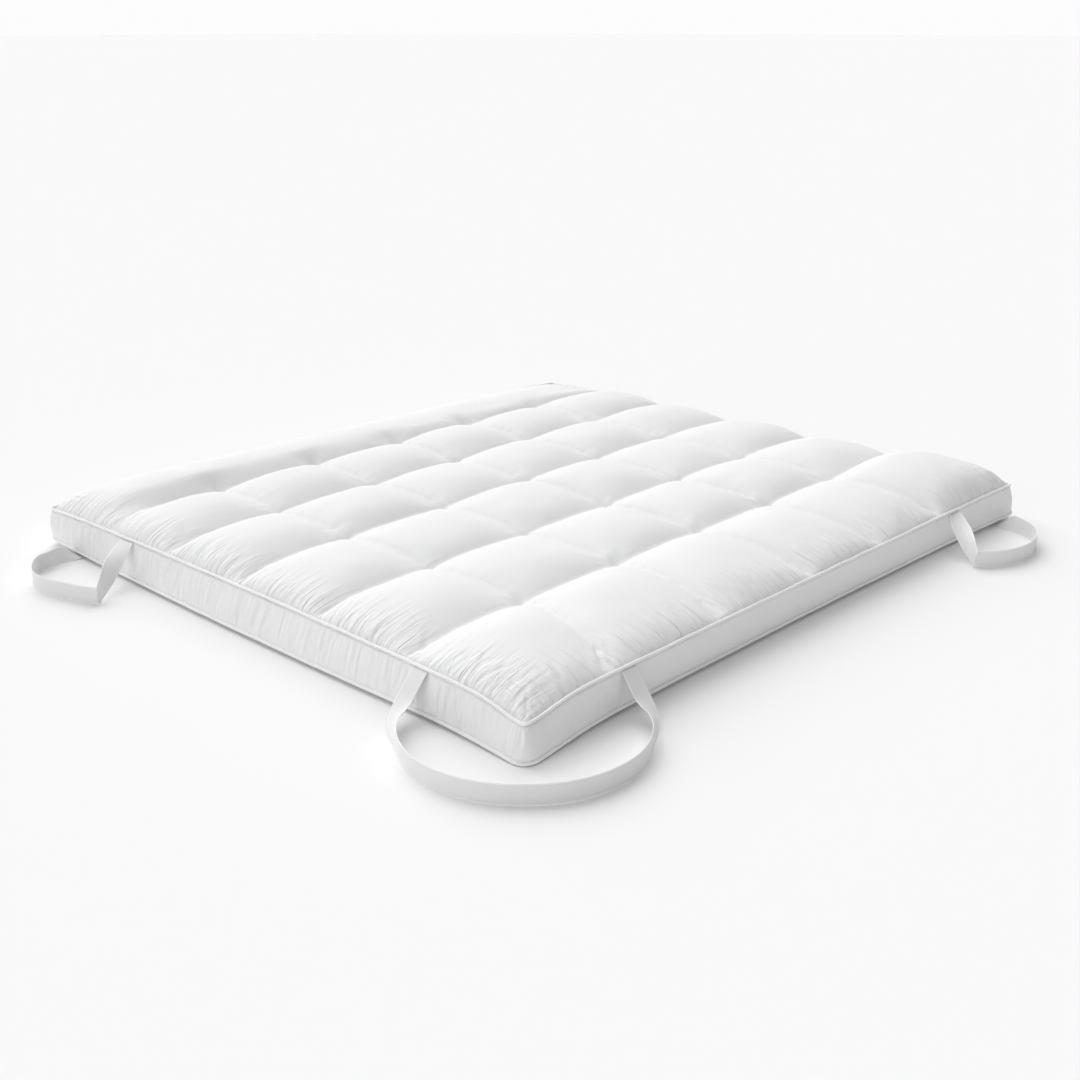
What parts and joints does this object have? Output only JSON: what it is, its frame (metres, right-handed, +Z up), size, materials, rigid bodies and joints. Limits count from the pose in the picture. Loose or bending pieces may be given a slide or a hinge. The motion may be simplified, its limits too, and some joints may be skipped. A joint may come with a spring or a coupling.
{
  "type": "mattress topper",
  "caption": "Quilted box-stitched mattress topper, crowned pockets over a piped boxing band, with an elastic strap looped round each corner, lying flat",
  "frame": {"origin": "middle of the bounding box in plan, on the surface the topper rests on", "axes": "+X along the long side, away from the near corner; +Y along the short side, away from the near corner; +Z up"},
  "size_m": [2.382, 2.171, 0.1849],
  "materials": {
    "down_proof_cotton": "fine close weave, soft sheen",
    "band_cotton": "fine close weave, matt",
    "base_cotton": "plain weave, matt",
    "piping_cotton": "bias-cut covering over a round cord",
    "woven_elastic": "ribbed woven elastic, matt"
  },
  "bodies": {
    "root": {"quilted_body": "down_proof_cotton", "gusset_band": "band_cotton", "base_panel": "base_cotton", "piping_top": "piping_cotton", "piping_bottom": "piping_cotton", "strap_near": "woven_elastic", "strap_left": "woven_elastic", "strap_right": "woven_elastic", "strap_far": "woven_elastic"}
  },
  "joints": []
}
